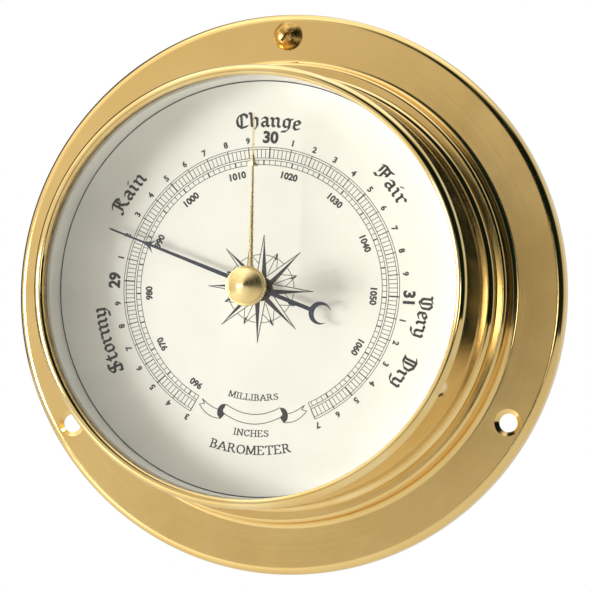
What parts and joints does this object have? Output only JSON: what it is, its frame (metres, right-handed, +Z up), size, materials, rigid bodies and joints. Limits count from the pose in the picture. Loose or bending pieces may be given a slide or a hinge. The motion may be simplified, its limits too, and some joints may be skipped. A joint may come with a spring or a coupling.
{
  "type": "ship barometer",
  "caption": "Brass ship's aneroid barometer with a wide wall flange, a raised bezel, a white dial with a blued hand, and a brass set hand turned by a fluted knob in the glass.",
  "frame": {"origin": "centre of the rim's rear edge, on the wall plane", "axes": "+Z up, +X to the viewer's right, +Y into the wall; the dial faces -Y"},
  "size_m": [0.152, 0.0685, 0.152],
  "materials": {
    "polished_brass": "spun and polished brass, unlacquered, warm gold",
    "satin_brass": "machined brass with fine turning marks",
    "steel": "turned bright steel",
    "spring_steel": "hardened and tempered spring steel, dark blue-grey",
    "blued_steel": "flame-blued steel, near black with a blue sheen",
    "nickel_silver": "corrugated nickel silver sheet, satin",
    "dial_enamel": "matt white enamel on sheet brass, printed in black",
    "white_ring": "satin white enamel on brass strip",
    "window_glass": "clear flat window glass",
    "cork_gasket": "dark rubberised gasket",
    "fibre_washer": "red vulcanised fibre"
  },
  "bodies": {
    "case": {"wall_flange": "polished_brass", "case_drum": "satin_brass", "bezel": "polished_brass", "glass": "window_glass", "glass_gasket": "cork_gasket", "reflector_ring": "white_ring", "dial": "dial_enamel", "dial_feet": "satin_brass", "dial_foot_nuts": "satin_brass", "back_plate": "satin_brass", "back_plate_screws": "satin_brass", "mounting_screw": "polished_brass", "base_plate": "satin_brass", "frame_pillars": "satin_brass", "bridge_plate": "satin_brass", "top_plate": "satin_brass", "frame_screws": "steel", "capsule_rear": "nickel_silver", "capsule_front": "nickel_silver", "capsule_nut": "satin_brass", "spring_block": "satin_brass", "mainspring": "spring_steel", "spring_screws": "steel", "rocker_posts": "satin_brass", "rocker_post_screws": "steel", "pivot_screws": "satin_brass", "hairspring": "blued_steel", "hairspring_stud": "satin_brass", "glass_bush": "satin_brass", "bush_ring": "satin_brass"},
    "set_hand_spindle": {"set_spindle": "satin_brass", "set_hand": "polished_brass", "set_hand_nut": "satin_brass", "friction_washer": "fibre_washer", "set_knob": "polished_brass"},
    "sector": {"sector_gear": "satin_brass", "sector_arbor": "steel", "tail_pin": "steel", "counterweight": "satin_brass"},
    "indicator": {"hand_pinion": "steel", "hand_arbor": "steel", "hairspring_collet": "satin_brass", "hand_collet": "satin_brass", "indicator_hand": "blued_steel"},
    "rocker": {"rocking_shaft": "steel", "short_arm": "steel", "long_arm": "steel"},
    "lever": {"main_lever": "steel", "lever_rivets": "satin_brass", "link": "steel"},
    "post": {"capsule_post": "steel"},
    "adjuster": {"adjusting_screw": "steel"}
  },
  "joints": [
    {"name": "set_hand_turn", "type": "hinge", "parent": "case", "child": "set_hand_spindle", "pos_m": [0, -0.05, 0], "axis": [0, 1, 0], "continuous": true},
    {"name": "sector_swing", "type": "hinge", "parent": "case", "child": "sector", "pos_m": [0.0264, -0.027, 0], "axis": [0, -1, 0], "range_deg": [-8.1, 22.5]},
    {"name": "indicator_turn", "type": "hinge", "parent": "case", "child": "indicator", "pos_m": [0, -0.038, 0], "axis": [0, 1, 0], "range_deg": [-81.01, 225.01], "deforming": ["hairspring"]},
    {"name": "rocker_tilt", "type": "hinge", "parent": "case", "child": "rocker", "pos_m": [0.027, -0.014, 0], "axis": [0, 0, -1], "range_deg": [-4.06, 11.26]},
    {"name": "lever_tilt", "type": "hinge", "parent": "case", "child": "lever", "pos_m": [-0.028, -0.016, 0], "axis": [0, 0, 1], "range_deg": [-0.23565, 0.65104], "deforming": ["mainspring"]},
    {"name": "capsule_breathe", "type": "slide", "parent": "case", "child": "post", "axis": [0, 1, 0], "range_m": [-0.00011618, 0.00031918], "deforming": ["capsule_front"]},
    {"name": "adjusting_screw_turn", "type": "hinge", "parent": "case", "child": "adjuster", "pos_m": [-0.024, -0.006, 0], "axis": [0, 1, 0], "range_deg": [-180, 180]}
  ],
  "couplings": [
    {"joint": "indicator_turn", "follows": "sector_swing", "ratio": 10},
    {"joint": "rocker_tilt", "follows": "sector_swing", "ratio": 0.5},
    {"joint": "lever_tilt", "follows": "sector_swing", "ratio": 0.028846},
    {"joint": "capsule_breathe", "follows": "sector_swing", "m_per_rad": 0.00080769}
  ]
}
